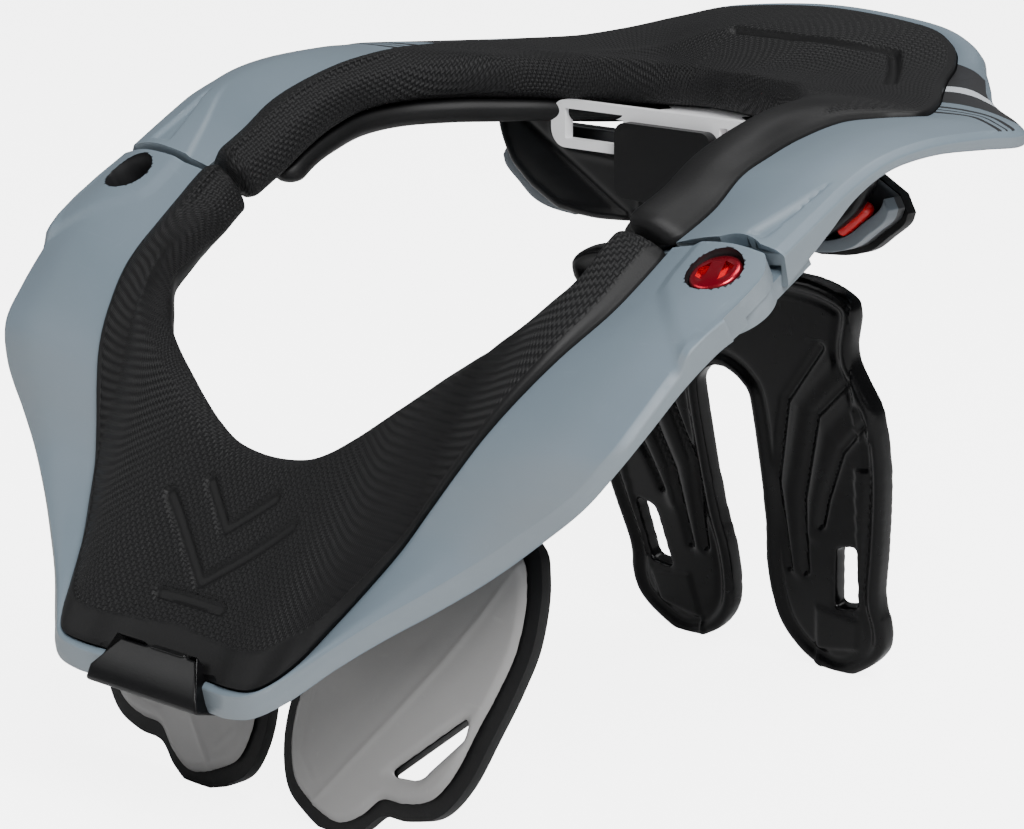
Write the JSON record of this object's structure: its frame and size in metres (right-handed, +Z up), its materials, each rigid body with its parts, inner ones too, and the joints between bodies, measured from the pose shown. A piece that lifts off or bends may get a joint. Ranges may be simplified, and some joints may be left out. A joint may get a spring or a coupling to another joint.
{
  "type": "motocross neck brace",
  "caption": "Protective neck brace: a padded collar that opens at a side hinge, carried by leaning chest plates and by a folding back wing.",
  "frame": {"origin": "middle of the bounding box at floor height", "axes": "+Z up; the wearer faces -Y and the wearer's left, where the hinge pin is, is +X"},
  "size_m": [0.28, 0.2896, 0.2051],
  "materials": {
    "shell": "satin blue-grey moulded plastic",
    "foam": "moulded black foam with a fine embossed weave",
    "plate": "satin warm silver-grey plastic",
    "black_plastic": "satin black plastic",
    "black_rubber": "semi-matt black rubber",
    "white_plastic": "glossy white plastic",
    "red_metal": "red anodised, polished",
    "red_plastic": "glossy red plastic",
    "dark_grey": "satin dark grey plastic",
    "steel": "plain steel"
  },
  "bodies": {
    "rear_half": {"rear_shell": "shell", "rear_foam": "foam", "hinge_pin": "red_metal", "rear_lower_foam_left": "foam", "rear_lower_foam_right": "foam", "rear_frame": "white_plastic", "neck_block": "black_plastic", "frame_pin": "red_metal", "rear_arm": "black_plastic", "wing_pin": "steel", "neck_guard_left": "black_plastic", "neck_guard_right": "black_plastic", "shoulder_plate_left": "dark_grey", "shoulder_plate_right": "dark_grey", "shoulder_foam_left": "foam", "shoulder_foam_right": "foam", "release_bar_left": "red_plastic", "release_bar_right": "red_plastic"},
    "front_half": {"front_shell": "shell", "front_foam": "foam", "front_badge": "black_rubber", "chest_plate_left": "plate", "chest_plate_right": "plate", "chest_foam_left": "foam", "chest_foam_right": "foam", "chest_arm_left": "black_plastic", "chest_arm_right": "black_plastic"},
    "wing": {"back_wing": "black_plastic"}
  },
  "joints": [
    {"name": "collar_hinge", "type": "hinge", "parent": "rear_half", "child": "front_half", "pos_m": [0.118, -0.04782, 0.1584], "axis": [0, -0.4848, 0.8746], "range_deg": [0, 60]},
    {"name": "wing_fold", "type": "hinge", "parent": "rear_half", "child": "wing", "pos_m": [0, 0.08618, 0.144], "axis": [-1, 0, 0], "range_deg": [0, 35]}
  ]
}
